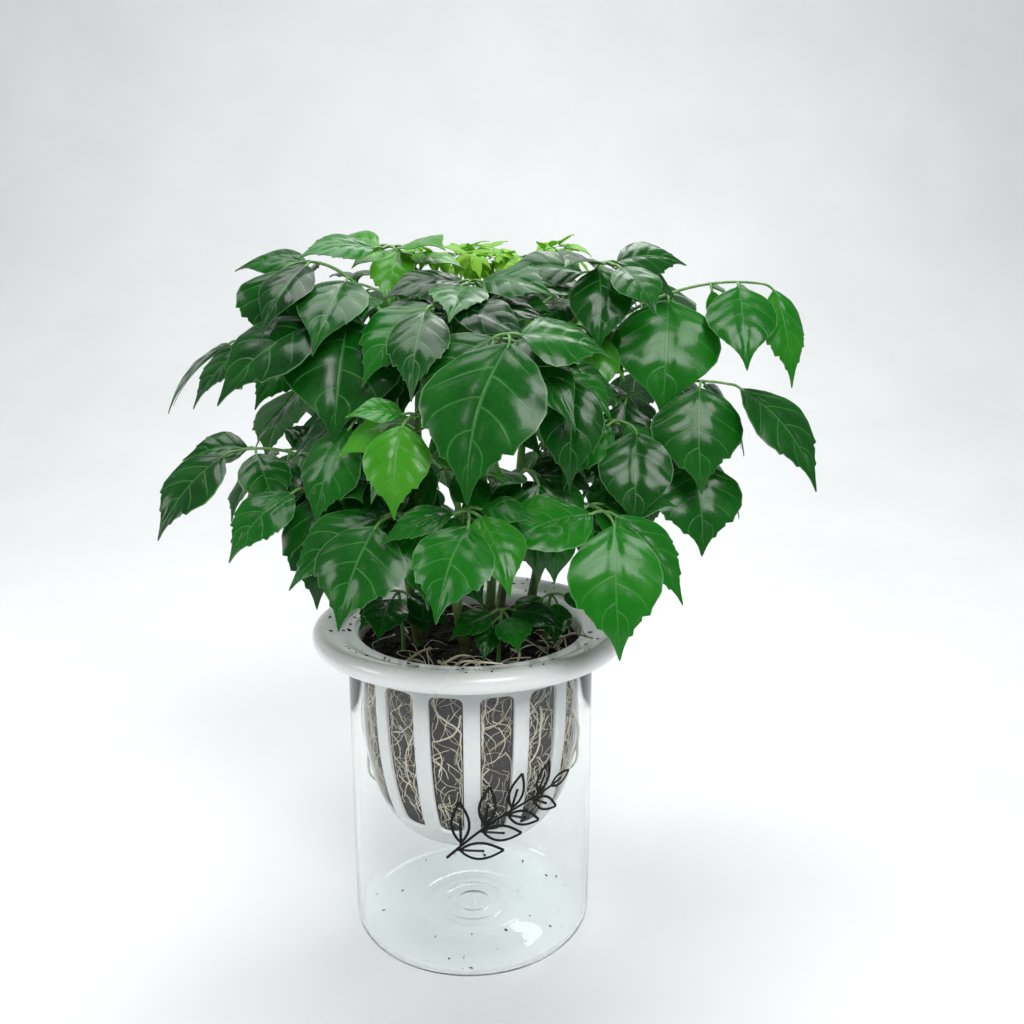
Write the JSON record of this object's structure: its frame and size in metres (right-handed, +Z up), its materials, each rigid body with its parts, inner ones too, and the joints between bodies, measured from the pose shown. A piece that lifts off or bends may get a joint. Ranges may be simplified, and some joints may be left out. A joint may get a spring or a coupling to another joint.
{
  "type": "happiness tree in a vase",
  "caption": "Young happiness tree with glossy compound leaves, rooted in a white slotted basket that hangs by its rolled collar in a clear cylinder vase.",
  "frame": {"origin": "centre of the vase's flat underside, on the surface it stands on", "axes": "+Z up the vase's axis, -Y towards the side the plant leans to and is seen from, +X to the right of that view"},
  "size_m": [0.2865, 0.2554, 0.324],
  "materials": {
    "vase_plastic": "gloss",
    "basket_plastic": "gloss",
    "soil": "matte",
    "stem": "satin",
    "leaf": "gloss",
    "young_leaf": "satin",
    "root": "matte"
  },
  "bodies": {
    "root": {"vase": "vase_plastic", "basket": "basket_plastic", "root_ball": "soil", "stem_middle": "stem", "stem_left": "stem", "stem_right": "stem", "stem_back_left": "stem", "stem_back_right": "stem", "stem_front": "stem", "leaf_front_high": "leaf", "leaf_front_right_low": "leaf", "leaf_right_middle": "leaf", "leaf_right_top": "leaf", "leaf_top_right_near": "leaf", "leaf_left_low": "leaf", "leaf_left_low_front": "leaf", "leaf_front_left_low": "leaf", "leaf_front_low": "leaf", "leaf_young_left": "leaf", "leaf_upper_left": "leaf", "leaf_upper_front": "leaf", "leaf_top_left": "leaf", "leaf_top_back_left": "leaf", "leaf_right_low_middle": "leaf", "leaf_centre_inner": "leaf", "leaf_right_inner": "leaf", "leaf_inner_left": "leaf", "leaf_inner_left_low": "leaf", "leaf_inner_centre_low": "leaf", "leaf_inner_right": "leaf", "leaf_inner_high": "leaf", "leaf_inner_top": "leaf", "leaf_inner_back_left": "leaf", "leaf_inner_back_low": "leaf", "leaf_inner_back_right": "leaf", "leaf_back_top_right": "leaf", "leaf_back_right": "leaf", "leaf_back_top": "leaf", "leaf_back_middle": "leaf", "leaf_back_top_left": "leaf", "leaf_back_left": "leaf", "leaf_left_back_high": "leaf", "leaf_left_back_low": "leaf", "leaf_back_low": "leaf", "leaf_back_right_low": "leaf", "leaf_right_back_low": "leaf", "seedling_left": "leaf", "seedling_front": "leaf", "seedling_right": "leaf", "young_shoot_middle": "young_leaf", "young_shoot_right": "young_leaf", "surface_root_front": "root", "surface_root_middle": "root", "surface_root_right": "root", "surface_root_left": "root", "surface_root_back": "root", "slot_root_right": "root", "slot_root_right_low": "root", "slot_root_left": "root"}
  },
  "joints": []
}
